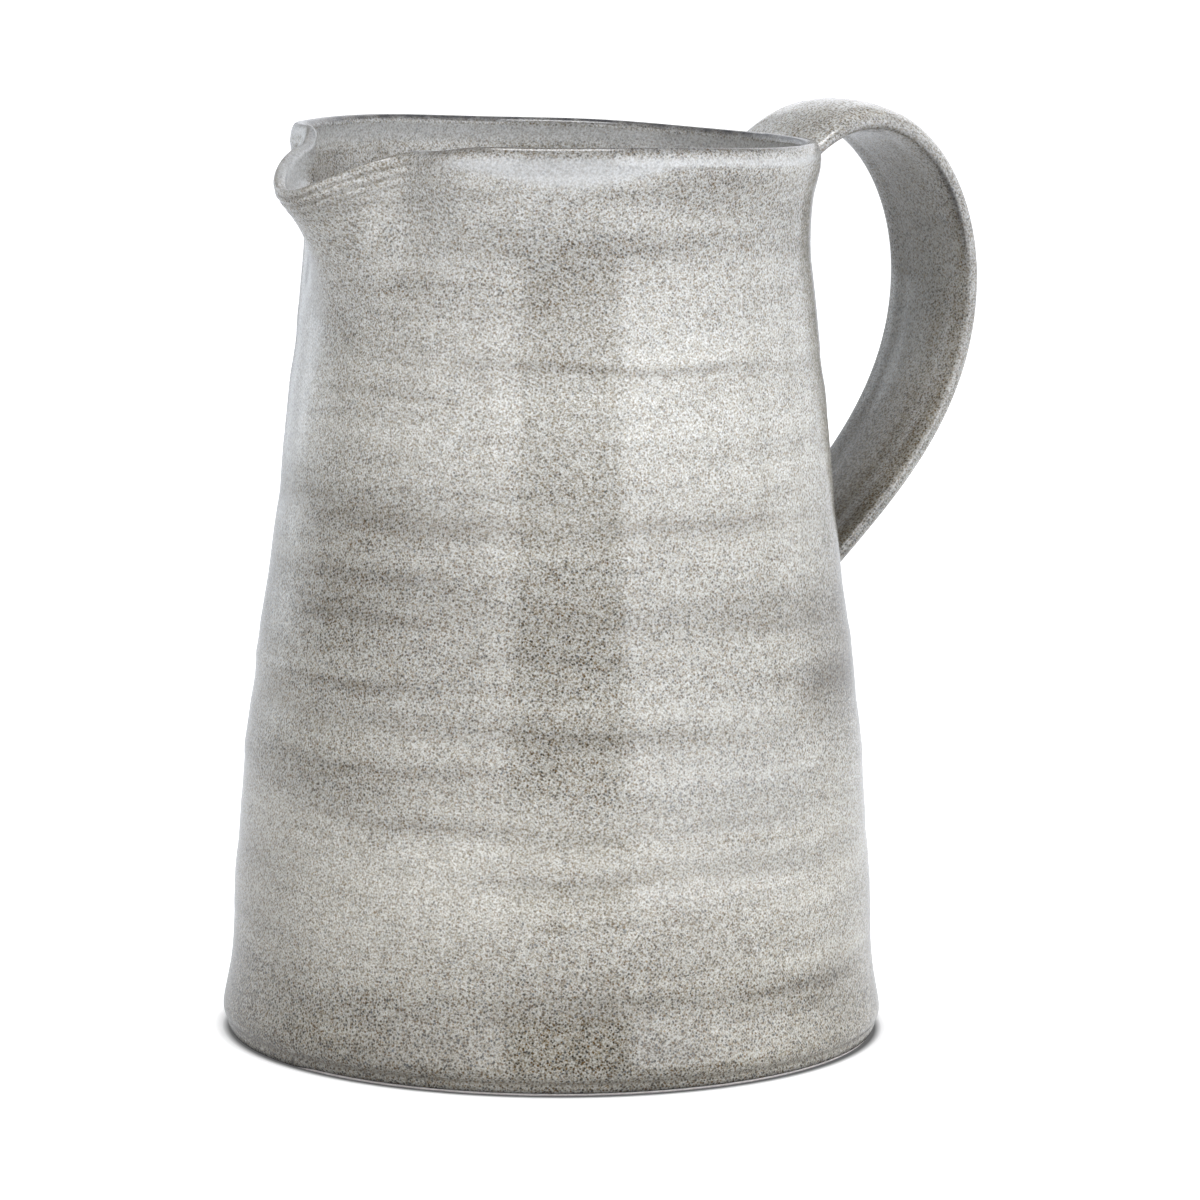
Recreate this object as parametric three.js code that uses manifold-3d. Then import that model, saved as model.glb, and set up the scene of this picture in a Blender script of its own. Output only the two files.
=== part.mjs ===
// Earthenware jug: a wheel-thrown body with a pulled spout, a pulled strap handle luted on with slip,
// and a glaze coat outside, inside and round the handle.
// Millimetres, +Z up. The origin is the centre of the flat underside, +X points to the handle and
// -X to the spout.
import * as THREE from 'three';
import { mergeGeometries, mergeVertices } from 'three/addons/utils/BufferGeometryUtils.js';
import Module from 'manifold-3d';

const { degToRad, mapLinear } = THREE.MathUtils;

// Thrown body: outside of the clay
const BODY_HEIGHT = 219.4;
const FOOT_RADIUS = 80.6;
const FOOT_BEAD_HEIGHT = 5.5;
const FOOT_ROUNDING = 1.9;
const WAIST_RADIUS = 77.8;
const WAIST_HEIGHT = 26;
const BELLY_RADIUS = 75;
const BELLY_HEIGHT = 68;
const SHOULDER_RADIUS = 68.9;
const SHOULDER_HEIGHT = 120;
const NECK_RADIUS = 60.8;
const NECK_DROP = 23.4;
const RIM_RADIUS = 63.5;
const RIM_TILT = 1.7;
const RIM_SIDE_TILT = 0.6;

// Thrown body: thickness of the clay and the inside corner
const FOOT_WALL = 6;
const RIM_WALL = 2.4;
const FLOOR = 7;
const FLOOR_FILLET = 16;

// Spout: pulled out of the rim and dipped, with a pinched throat and an ear in the rim on either side
const SPOUT_DEPTH = 45;
const SPOUT_REACH = 12.4;
const SPOUT_DIP = 13.2;
const SPOUT_HALF_ANGLE = degToRad(15);
const SPOUT_SQUARENESS = 2.5;
const SPOUT_EASE = 1.27;
const DIP_HALF_ANGLE = degToRad(16.5);
const PINCH = 4.1;
const PINCH_ANGLE = degToRad(21.3);
const PINCH_HALF_ANGLE = degToRad(7);
const EAR_SWELL = 0.6;
const EAR_ANGLE = degToRad(38);
const EAR_HALF_ANGLE = degToRad(8);

// Strap handle: the line that its section follows, from the upper root to the lower one, hung from the rim
const UPPER_ROOT_DROP = 7.1;
const UPPER_ROOT_SLOPE = degToRad(40);
const UPPER_ROOT_PULL = 33.8;
const HANDLE_REACH = 51.3;
const HANDLE_REACH_DROP = 39.3;
const CROWN_PULL = 28.6;
const HEEL_PULL = 28.4;
const LOWER_ROOT_DROP = 108.1;
const LOWER_ROOT_SLOPE = degToRad(41.8);
const LOWER_ROOT_PULL = 27.5;
const ROOT_TUCK = 17;

// Strap handle: its section, fuller on the outside of the loop than on the inside
const STRAP_WIDTH = 33;
const STRAP_OUTER_DEPTH = 5;
const STRAP_INNER_DEPTH = 1.6;
const EDGE_ROUNDNESS = 0.75;
const CROWN_ROUNDNESS = 0.9;

// Slip, glaze and the gaps between the layers
const SLIP = 1;
const GLAZE = 0.5;
const COAT_GAP = 0.1;
const CUT_GAP = 0.3;
const GLAZE_LINE = 0.7;

// Fineness of the surfaces
const SEGMENTS = 48;
const SPOUT_CROWDING = 0.5;
const OUTSIDE_ROWS = 12;
const INSIDE_ROWS = 8;
const ARC_STEPS = 2;
const FILLET_STEPS = 3;
const LINE_STEPS = 11;
const SECTION_POINTS = 16;

const wasm = await Module();
wasm.setup();

// Clay surface: points with a radius and a height, from the foot up the outside, over the rim and
// down the inside to the axis

const lipCentre = { r: RIM_RADIUS - RIM_WALL / 2, z: BODY_HEIGHT - RIM_WALL / 2 };
const linerStart = CUT_GAP / (RIM_WALL / 2);

const wallLine = new THREE.CatmullRomCurve3([
  new THREE.Vector3(FOOT_RADIUS, 0, FOOT_BEAD_HEIGHT),
  new THREE.Vector3(WAIST_RADIUS, 0, WAIST_HEIGHT),
  new THREE.Vector3(BELLY_RADIUS, 0, BELLY_HEIGHT),
  new THREE.Vector3(SHOULDER_RADIUS, 0, SHOULDER_HEIGHT),
  new THREE.Vector3(NECK_RADIUS, 0, BODY_HEIGHT - NECK_DROP),
  new THREE.Vector3(RIM_RADIUS, 0, lipCentre.z),
]);

// Radius of the wall's outside at a height, found by halving along the wall line.
function wallRadius(height) {
  let low = 0;
  let high = 1;
  while (high - low > 1e-6) {
    const middle = (low + high) / 2;
    if (wallLine.getPoint(middle).z < height) low = middle;
    else high = middle;
  }
  return wallLine.getPoint(low).x;
}

// The wall thins steadily from the floor to the rim.
function wallThickness(height) {
  return mapLinear(height, FLOOR, lipCentre.z, FOOT_WALL, RIM_WALL);
}

// Heights from one level to another, closer together at both ends.
function rowHeights(from, to, rows) {
  const share = (i) => (1 - Math.cos((i / rows) * Math.PI)) / 2;
  return Array.from({ length: rows + 1 }, (_, i) => from + (to - from) * share(i));
}

function arcPoints(centre, radiusR, radiusZ, from, to, steps) {
  return Array.from({ length: steps + 1 }, (_, i) => {
    const angle = from + ((to - from) * i) / steps;
    return { r: centre.r + radiusR * Math.cos(angle), z: centre.z + radiusZ * Math.sin(angle) };
  });
}

function outsidePoints() {
  const beadCentre = { r: FOOT_RADIUS - FOOT_ROUNDING, z: FOOT_BEAD_HEIGHT };
  const foot = { r: beadCentre.r, z: 0 };
  const bead = arcPoints(beadCentre, FOOT_ROUNDING, FOOT_BEAD_HEIGHT - GLAZE_LINE, -Math.PI / 2, 0, ARC_STEPS);
  const heights = rowHeights(FOOT_BEAD_HEIGHT, lipCentre.z, OUTSIDE_ROWS).slice(1, -1);
  const wall = heights.map((z) => ({ r: wallRadius(z), z }));
  const lip = arcPoints(lipCentre, RIM_WALL / 2, RIM_WALL / 2, 0, Math.PI / 2, ARC_STEPS);
  return [foot, ...bead, ...wall, ...lip];
}

function insidePoints() {
  const lip = arcPoints(lipCentre, RIM_WALL / 2, RIM_WALL / 2, Math.PI / 2 + linerStart, Math.PI, ARC_STEPS);
  const filletTop = FLOOR + FLOOR_FILLET;
  const heights = rowHeights(lipCentre.z, filletTop, INSIDE_ROWS).slice(1, -1);
  const wall = heights.map((z) => ({ r: wallRadius(z) - wallThickness(z), z }));
  const filletCentre = { r: wallRadius(filletTop) - wallThickness(filletTop) - FLOOR_FILLET, z: filletTop };
  const fillet = arcPoints(filletCentre, FLOOR_FILLET, FLOOR_FILLET, 0, -Math.PI / 2, FILLET_STEPS);
  return [...lip, ...wall, ...fillet, { r: 0, z: FLOOR }];
}

// Gives each point the direction that looks out of the clay, to the right of the way along the line.
function withNormals(points) {
  return points.map((point, i) => {
    const before = points[Math.max(i - 1, 0)];
    const after = points[Math.min(i + 1, points.length - 1)];
    const length = Math.hypot(after.r - before.r, after.z - before.z);
    return { ...point, nr: (after.z - before.z) / length, nz: (before.r - after.r) / length };
  });
}

const outsideCount = outsidePoints().length;
const claySurface = withNormals([...outsidePoints(), ...insidePoints()]);
const outside = claySurface.slice(0, outsideCount);
const inside = claySurface.slice(outsideCount);

// Points of a profile that lies a distance out from the clay.
function offset(points, distance) {
  return points.map((p) => new THREE.Vector2(p.r + p.nr * distance, p.z + p.nz * distance));
}

// Turning and pulling: every layer of the body goes through the same steps

// Angle round the axis from the middle of the spout.
const spoutAngle = (point) => Math.atan2(point.y, -point.x);

function placeAt(point, radius, angle) {
  point.x = -radius * Math.cos(angle);
  point.y = radius * Math.sin(angle);
}

// Brings the segments of a lathe closer together at the spout.
function crowdToSpout(point) {
  const angle = spoutAngle(point);
  placeAt(point, Math.hypot(point.x, point.y), angle - SPOUT_CROWDING * Math.sin(angle));
}

// A smooth hump over an angle, 1 in its middle.
const hump = (angle, halfAngle, power = 2) => Math.exp(-((Math.abs(angle) / halfAngle) ** power));

function pullSpout(point) {
  const angle = spoutAngle(point);
  const rise = Math.max(0, (point.z - BODY_HEIGHT + SPOUT_DEPTH) / SPOUT_DEPTH);
  const pull = rise ** SPOUT_EASE;
  const beak = SPOUT_REACH * hump(angle, SPOUT_HALF_ANGLE, SPOUT_SQUARENESS);
  const pinch = PINCH * hump(Math.abs(angle) - PINCH_ANGLE, PINCH_HALF_ANGLE);
  const ear = EAR_SWELL * hump(Math.abs(angle) - EAR_ANGLE, EAR_HALF_ANGLE);
  placeAt(point, Math.hypot(point.x, point.y) + pull * (beak - pinch + ear), angle);
  point.z -= pull * SPOUT_DIP * hump(angle, DIP_HALF_ANGLE);
}

// The rim leans down a little towards the handle and to one side.
function leanRim(point) {
  const fall = RIM_TILT * point.x - RIM_SIDE_TILT * point.y;
  point.z -= (fall / RIM_RADIUS) * (point.z / BODY_HEIGHT);
}

function signedVolume(position, corners) {
  const [a, b, c] = [new THREE.Vector3(), new THREE.Vector3(), new THREE.Vector3()];
  let sum = 0;
  for (let i = 0; i < corners.length; i += 3) {
    a.fromBufferAttribute(position, corners[i]);
    b.fromBufferAttribute(position, corners[i + 1]);
    c.fromBufferAttribute(position, corners[i + 2]);
    sum += a.dot(b.cross(c));
  }
  return sum / 6;
}

// Merges shared points, drops empty triangles and turns the faces outwards.
function closed(geometry) {
  geometry.deleteAttribute('normal');
  geometry.deleteAttribute('uv');
  const merged = mergeVertices(geometry, 1e-4);
  const index = Array.from(merged.getIndex().array);
  const corners = [];
  for (let i = 0; i < index.length; i += 3) {
    const [a, b, c] = index.slice(i, i + 3);
    if (a !== b && b !== c && c !== a) corners.push(a, b, c);
  }
  const facesOut = signedVolume(merged.getAttribute('position'), corners) > 0;
  merged.setIndex(facesOut ? corners : corners.reverse());
  return merged;
}

// Skin that a profile sweeps round the axis.
function lathe(profile) {
  return new THREE.LatheGeometry(profile, SEGMENTS).rotateX(Math.PI / 2);
}

function insideOut(geometry) {
  return geometry.setIndex(Array.from(geometry.getIndex().array).reverse());
}

// Closes skins into one body, then pulls its spout and leans its rim.
function thrown(...skins) {
  const geometry = closed(mergeGeometries(skins));
  const position = geometry.getAttribute('position');
  const point = new THREE.Vector3();
  for (let i = 0; i < position.count; i += 1) {
    point.fromBufferAttribute(position, i);
    crowdToSpout(point);
    pullSpout(point);
    leanRim(point);
    position.setXYZ(i, point.x, point.y, point.z);
  }
  return geometry;
}

function clayBody() {
  return thrown(lathe([new THREE.Vector2(0, 0), ...offset(claySurface, 0)]));
}

// Body filled to the axis, with its side a distance out from the clay.
function filledBody(distance) {
  const side = offset(outside, distance);
  return thrown(lathe([new THREE.Vector2(0, side[0].y), ...side, new THREE.Vector2(0, side.at(-1).y)]));
}

// Coat on a stretch of the clay: a face, a back that follows the clay, and the edges between them.
function coat(points) {
  const back = offset(points, COAT_GAP);
  const face = offset(points, COAT_GAP + GLAZE);
  const skins = [lathe(face), insideOut(lathe(back)), lathe([back[0], face[0]])];
  if (points.at(-1).r > 0) skins.push(lathe([face.at(-1), back.at(-1)]));
  return thrown(...skins);
}

// Strap handle

function handleCurves() {
  const at = (r, z) => new THREE.Vector3(r, 0, z);
  const along = (start, slope, distance) =>
    at(start.x + distance * Math.cos(slope), start.z + distance * Math.sin(slope));
  const onWall = (drop, reach = 0) => at(wallRadius(BODY_HEIGHT - drop) + reach, BODY_HEIGHT - drop);
  const upper = onWall(UPPER_ROOT_DROP);
  const far = onWall(HANDLE_REACH_DROP, HANDLE_REACH);
  const lower = onWall(LOWER_ROOT_DROP);
  const upperTuck = along(upper, UPPER_ROOT_SLOPE, -ROOT_TUCK);
  const lowerTuck = along(lower, LOWER_ROOT_SLOPE, -ROOT_TUCK);
  return {
    upperTuck: new THREE.LineCurve3(upperTuck, upper),
    over: new THREE.CubicBezierCurve3(
      upper, along(upper, UPPER_ROOT_SLOPE, UPPER_ROOT_PULL), at(far.x, far.z + CROWN_PULL), far),
    under: new THREE.CubicBezierCurve3(
      far, at(far.x, far.z - HEEL_PULL), along(lower, LOWER_ROOT_SLOPE, LOWER_ROOT_PULL), lower),
    lowerTuck: new THREE.LineCurve3(lower, lowerTuck),
  };
}

// Points and directions along curves that follow each other.
function stations(...curves) {
  const steps = (curve) => (curve.isLineCurve3 ? 1 : LINE_STEPS);
  return curves.flatMap((curve, c) => Array.from({ length: steps(curve) + (c === 0 ? 1 : 0) }, (_, i) => {
    const share = (i + (c === 0 ? 0 : 1)) / steps(curve);
    return { point: curve.getPoint(share), tangent: curve.getTangent(share) };
  }));
}

// Section of the strap, grown by a distance: across the strap and out of the loop.
function strapSection(distance) {
  const power = (value, roundness) => Math.sign(value) * Math.abs(value) ** roundness;
  return Array.from({ length: SECTION_POINTS }, (_, i) => {
    const angle = ((i + 0.5) / SECTION_POINTS) * 2 * Math.PI;
    const across = (STRAP_WIDTH / 2 + distance) * power(Math.cos(angle), EDGE_ROUNDNESS);
    const side = Math.sin(angle);
    const out = side > 0
      ? (STRAP_OUTER_DEPTH + distance) * power(side, CROWN_ROUNDNESS)
      : (STRAP_INNER_DEPTH + distance) * power(side, EDGE_ROUNDNESS);
    return { across, out };
  });
}

// Closed solid that sweeps the section along the stations and fills both ends.
function swept(section, line) {
  const corners = [];
  const positions = line.flatMap(({ point, tangent }) => section.flatMap(({ across, out }) =>
    [point.x - tangent.z * out, across, point.z + tangent.x * out]));
  const count = section.length;
  for (let ring = 0; ring + 1 < line.length; ring += 1) {
    for (let i = 0; i < count; i += 1) {
      const a = ring * count + i;
      const b = ring * count + ((i + 1) % count);
      corners.push(a, b, b + count, a, b + count, a + count);
    }
  }
  const last = (line.length - 1) * count;
  for (let i = 1; i + 1 < count; i += 1) {
    corners.push(0, i + 1, i, last, last + i, last + i + 1);
  }
  const geometry = new THREE.BufferGeometry();
  geometry.setAttribute('position', new THREE.Float32BufferAttribute(positions, 3));
  geometry.setIndex(corners);
  return closed(geometry);
}

// Cutting

function solid(geometry) {
  return new wasm.Manifold(new wasm.Mesh({
    numProp: 3,
    vertProperties: Float32Array.from(geometry.getAttribute('position').array),
    triVerts: Uint32Array.from(geometry.getIndex().array),
  }));
}

function cutGeometry(manifold) {
  const { vertProperties, triVerts } = manifold.getMesh();
  const geometry = new THREE.BufferGeometry();
  geometry.setAttribute('position', new THREE.BufferAttribute(vertProperties, 3));
  geometry.setIndex(Array.from(triVerts));
  return geometry;
}

const curves = handleCurves();
const wholeLine = stations(curves.upperTuck, curves.over, curves.under, curves.lowerTuck);
const upperLine = stations(curves.upperTuck, curves.over);
const lowerLine = stations(curves.under, curves.lowerTuck);
const sleeve = (distance, line = wholeLine) => solid(swept(strapSection(distance), line));

const slipFace = solid(filledBody(CUT_GAP));
const slipBack = solid(filledBody(CUT_GAP + SLIP));
const strapSeat = solid(filledBody(CUT_GAP + SLIP + CUT_GAP));
const glazeSeat = solid(filledBody(COAT_GAP + GLAZE + CUT_GAP));

const slipJoint = (line) => sleeve(0, line).intersect(slipBack).subtract(slipFace);
const strap = sleeve(0).subtract(strapSeat);
const strapCoat = sleeve(COAT_GAP + GLAZE).subtract(sleeve(COAT_GAP)).subtract(glazeSeat);
const outerCoat = solid(coat(outside.slice(1))).subtract(sleeve(CUT_GAP));

// Materials

const clay = { color: 0xc8a690, roughness: 0.9, metalness: 0 };
const slip = { color: 0xb8917a, roughness: 0.85, metalness: 0 };
const glaze = { color: 0xa5a297, roughness: 0.22, metalness: 0 };

const jug = new THREE.Group();

function addPiece(name, geometry, finish) {
  geometry.computeVertexNormals();
  const mesh = new THREE.Mesh(geometry, new THREE.MeshStandardMaterial(finish));
  mesh.name = name;
  jug.add(mesh);
}

addPiece('thrown_body', clayBody(), clay);
addPiece('handle_strap', cutGeometry(strap), clay);
addPiece('upper_slip_joint', cutGeometry(slipJoint(upperLine)), slip);
addPiece('lower_slip_joint', cutGeometry(slipJoint(lowerLine)), slip);
addPiece('outer_glaze', cutGeometry(outerCoat), glaze);
addPiece('liner_glaze', coat(inside), glaze);
addPiece('handle_glaze', cutGeometry(strapCoat), glaze);

export default jug;
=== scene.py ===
"""Earthenware jug: the glaze coat, the clay under it and the strap handle, built in mesh code round the
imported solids. Shapes are worked out in millimetres, in the row frame, and stored in metres."""

import math

import bpy
import numpy as np
from mathutils import Matrix, Vector
from mathutils.bvhtree import BVHTree


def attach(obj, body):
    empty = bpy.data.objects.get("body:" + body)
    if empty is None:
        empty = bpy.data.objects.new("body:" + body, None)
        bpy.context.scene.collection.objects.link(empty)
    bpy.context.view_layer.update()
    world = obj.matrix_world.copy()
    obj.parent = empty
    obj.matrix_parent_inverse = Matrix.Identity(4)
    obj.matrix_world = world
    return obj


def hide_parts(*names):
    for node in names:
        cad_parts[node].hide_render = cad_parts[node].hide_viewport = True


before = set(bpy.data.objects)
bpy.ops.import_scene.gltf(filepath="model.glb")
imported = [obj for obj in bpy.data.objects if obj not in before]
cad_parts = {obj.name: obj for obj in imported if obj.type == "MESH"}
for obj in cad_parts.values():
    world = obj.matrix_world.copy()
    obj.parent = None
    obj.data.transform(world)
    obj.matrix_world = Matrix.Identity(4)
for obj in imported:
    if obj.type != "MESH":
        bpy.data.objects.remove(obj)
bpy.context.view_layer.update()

MM = 0.001
rng = np.random.default_rng(seed=7)

# Body: outside of the glaze from the bead of the foot to the lip, as height and radius
WALL = [(4.7, 80.82), (5.6, 80.92), (7.5, 80.72), (10, 80.25), (15, 79.3), (23, 78.45), (34, 78.15),
        (50, 77.1), (70, 75.5), (100, 71.95), (120, 69.1), (150, 65.9), (180, 62.55), (194, 61.35),
        (202, 61.6), (207, 62.3), (211, 63.35), (213.8, 63.95), (215.4, 64.05)]
BODY_HEIGHT = 219.4
RIM_RADIUS = 63.5
RIM_TILT = 1.7
RIM_SIDE_TILT = 0.6
LIP_HEIGHT = 218.2
LIP_RADIUS = 62.3
LIP_ROUND = 1.8
LIP_OUTSIDE = 215.4
LIP_OUTSIDE_ROUND = 4.6
MOUTH_START = 200
MOUTH_MARGIN = 1
INSIDE_START = 0.5
FLOOR_HEIGHT = 7.6
FLOOR_WALL = 7.2
RIM_WALL = 3.6
FLOOR_FILLET = 15.4
COAT = 0.5
CLAY_GAP = 0.05
FLOOR_TOLERANCE = 0.1

# Foot: bare edge, bevel and the crease above it, as radius and height
CLAY_EDGE = [(78.6, 0.0), (78.88, 0.1), (79.02, 0.3), (79.08, 0.52)]
BEVEL = [(79.16, 0.64), (79.38, 0.74), (79.6, 1.05), (79.85, 1.6), (80.02, 2.2), (80.1, 2.75), (80.06, 3.05),
         (80.14, 3.35), (80.4, 3.75), (80.66, 4.2)]

# Glaze that has run down over the bare edge of the foot under the spout: how far, and its ends in degrees
FOOT_RUN = 0.46
FOOT_RUN_ROWS = 5
FOOT_RUN_START = (-13, -6)
FOOT_RUN_END = (70, 90)

# Spout
SPOUT_DEPTH = 45
SPOUT_REACH = 12.4
SPOUT_DIP = 13.2
SPOUT_HALF_ANGLE = math.radians(15)
SPOUT_SQUARENESS = 2.5
SPOUT_EASE = 1.27
DIP_HALF_ANGLE = math.radians(16.5)
FAR_LIP = [(-10, 12.0), (0, 13.2), (4.5, 12.3), (9, 9.6), (13, 6.9), (17, 4.8), (20, 3.5), (22, 1.5),
           (24, 0.2), (27, 0), (29, 0), (31, 0), (190, 0)]
PINCH = 4.7
PINCH_EASE = 1.3
PINCH_ANGLE = math.radians(21.3)
PINCH_HALF_ANGLE = math.radians(7)
FAR_PINCH = 3.0
FAR_PINCH_ANGLE = math.radians(22.5)
FAR_PINCH_HALF_ANGLE = math.radians(5.5)
EAR_SWELL = 0.6
EAR_ANGLE = math.radians(38)
EAR_HALF_ANGLE = math.radians(8)
SHOULDER_DIP = 1.7
SHOULDER_ANGLE = math.radians(30)
SHOULDER_HALF_ANGLE = math.radians(9)

# Handle
UPPER_ROOT_HEIGHT = 212.3
UPPER_ROOT_SLOPE = math.radians(40)
UPPER_ROOT_PULL = 33.8
HANDLE_REACH = 50.35
HANDLE_REACH_HEIGHT = 180.1
CROWN_PULL = 28.5
HEEL_PULL = 30.2
LOWER_ROOT_HEIGHT = 111.3
LOWER_ROOT_SLOPE = math.radians(41.8)
LOWER_ROOT_PULL = 28.3
ROOT_TUCK = 9
ROOT_CLEARANCE = 0.1
STRAP_WIDTH = 34.2
STRAP_OUTER_DEPTH = 5.5
STRAP_INNER_DEPTH = 2.2
EDGE_ROUNDNESS = 0.75
CROWN_ROUNDNESS = 0.9

# How the strap flattens and widens near its roots, and the shallow grooves along it
UPPER_ROOT_LENGTH = 22
LOWER_ROOT_LENGTH = 20
UPPER_ROOT_FLATNESS = 0.38
LOWER_ROOT_FLATNESS = 0.12
UPPER_ROOT_WIDENING = 0.03
LOWER_ROOT_WIDENING = 0.05
WIDTH_WAVE = 0.008
WIDTH_WAVE_PITCH = 17
STRAP_GROOVE_DEPTH = 0.22
STRAP_GROOVE_PLACE = 0.52
STRAP_GROOVE_HALF = 2.6
STRAP_EDGE = 0.15

# Fillets between the strap and the wall, and how deep their ends sink into the glaze
FILLET = 3.2
FILLET_SPREAD = 0.8
FILLET_SINK = 0.25
ROOT_SINK = 1.6
ROOT_SPREAD = 0.75

# Glaze of the strap: thin on its edges and on one stretch, pooled in the grooves, painted shade on the inner
# face
EDGE_THINNESS = 0.45
EDGE_HALF = 0.28
STRETCH_THINNESS = 0.8
STRETCH_PLACE = 0.36
STRETCH_HALF = 0.09
STRETCH_SIDE = -0.3
STRETCH_SIDE_HALF = 0.16
STRAP_POOLING = 0.2
OUTER_POOLING = 0.35
POOL_PLACE = 0.6
POOL_HALF = 0.16
LOWER_STRAP = (0.45, 0.8)
STRAP_DARKNESS = 0.1
INNER_FACE_EDGE = (0.1, 0.5)
INNER_FACE_PAINTED_SHADE = 0.42
LOWER_FACE_PAINTED_SHADE = 0.75

# Fineness of the meshes
SEGMENTS = 320
SPOUT_CROWDING = 0.5
FOOT_END = 10
FOOT_STEP = 0.45
LIP_START = 206
LIP_STEP = 0.4
GLAZE_STEP = 0.85
LINER_STEP = 1.7
COAT_BACK_STEP = 6
CLAY_STEP = 4
LIP_POINTS = 25
HIDDEN_LIP_POINTS = 7
FLOOR_FILLET_POINTS = 18
FLOOR_POINTS = 16
SECTION_POINTS = 80
STRAP_RINGS = 150
FILLET_RINGS = 8
LINE_POINTS = 400
LINE_STEP = 0.25

FULL_TURN = 2 * math.pi


def smooth_line(points):
    """Smooth curve through (x, y) points, as a function of x."""
    x, y = np.array(points, float).T
    slope = np.gradient(y, x)

    def at(q):
        q = np.asarray(q, float)
        i = np.clip(np.searchsorted(x, q) - 1, 0, len(x) - 2)
        h = x[i + 1] - x[i]
        t = (q - x[i]) / h
        return ((1 + 2 * t) * (1 - t) ** 2 * y[i] + t * (1 - t) ** 2 * h * slope[i]
                + t * t * (3 - 2 * t) * y[i + 1] + t * t * (t - 1) * h * slope[i + 1])

    return at


def hump(value, half, power=2.0):
    """Bell curve of height 1."""
    return np.exp(-np.abs(value / half) ** power)


def ease(value, low, high):
    """Smooth step from 0 at low to 1 at high."""
    t = np.clip((value - low) / (high - low), 0, 1)
    return t * t * (3 - 2 * t)


def band(value, start, end):
    """Rises from 0 to 1 between the two numbers of start, and falls back between the two of end."""
    return ease(value, *start) * (1 - ease(value, *end))


def humps(place, table):
    """Sum of bell curves, each with a strength, a place and a half width."""
    return sum(strength * hump(place - middle, half) for strength, middle, half in table)


def waves(angle, table):
    """Sum of waves round the body, each with a depth, a count and a turn."""
    return sum(depth * np.sin(count * angle + turn) for depth, count, turn in table)


wall_radius = smooth_line(WALL)
far_lip_dip = smooth_line(FAR_LIP)

# How far the thrown wall bows towards the handle, as height and distance
BOW = [(0, -0.2), (30, -0.2), (60, -0.1), (90, 0.1), (120, 0.3), (150, 0.5), (185, 0.5), (200, 0.15),
       (210, -0.25), (222, -0.3)]
bow = smooth_line(BOW)

# Throwing rings: height, depth and half width. Each leans and fades round the body.
MAIN_RINGS = [(196, 0.26, 4.5), (167, 0.42, 4.0), (157, -0.25, 5.0), (131, 0.45, 5.0), (110, 0.34, 6.0),
              (99, -0.22, 4.0), (85, 0.42, 4.0), (71, -0.3, 4.5), (60, 0.25, 4.0), (49, 0.3, 4.0),
              (36, -0.2, 5.0)]
MAIN_RING_LEAN = (0.6, 2.4)
FINE_RING_SPAN = (14, 214)
FINE_RING_STEP = 5.2
FINE_RING_SHIFT = 1.6
FINE_RING_DEPTH = 0.085
FINE_RING_HALF = (1.2, 2.6)
FINE_RING_LEAN = (0.4, 2.0)
RING_EVENNESS = 0.7
RING_FADE = 0.3
RING_STRENGTH = 0.85
RINGS_START = (8, 18)
RINGS_END = (188, 203)

# Unevenness of the wall as a whole: an oval that grows upwards, and three lobes that twist
OVAL_DEPTH = 0.22
OVAL_TURN = 0.9
LOBE_DEPTH = 0.12
LOBE_TURN = 2.1
LOBE_TWIST = 60


def ring_table():
    """Height, depth, half width and lean of each ring, and the turns of its lean and its fade."""
    rows = []
    for z, depth, half in MAIN_RINGS:
        rows.append((z, depth, half, rng.uniform(*MAIN_RING_LEAN), rng.uniform(0, FULL_TURN),
                     rng.uniform(0, FULL_TURN)))
    for z in np.arange(*FINE_RING_SPAN, FINE_RING_STEP):
        rows.append((z + rng.uniform(-FINE_RING_SHIFT, FINE_RING_SHIFT), rng.normal(0, FINE_RING_DEPTH),
                     rng.uniform(*FINE_RING_HALF), rng.uniform(*FINE_RING_LEAN), rng.uniform(0, FULL_TURN),
                     rng.uniform(0, FULL_TURN)))
    return rows


RINGS = ring_table()


def throwing_rings(z, angle):
    """Radial relief that the fingers leave on a thrown wall."""
    total = np.zeros(np.broadcast(z, angle).shape)
    for height, depth, half, lean, turn, fade in RINGS:
        place = z - height - lean * np.sin(angle + turn)
        total -= depth * (RING_EVENNESS + RING_FADE * np.sin(angle + fade)) * hump(place, half)
    total += (OVAL_DEPTH * np.sin(2 * angle + OVAL_TURN) * (z / BODY_HEIGHT)
              + LOBE_DEPTH * np.sin(3 * angle + LOBE_TURN + z / LOBE_TWIST))
    return RING_STRENGTH * total * band(z, RINGS_START, RINGS_END)
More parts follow.
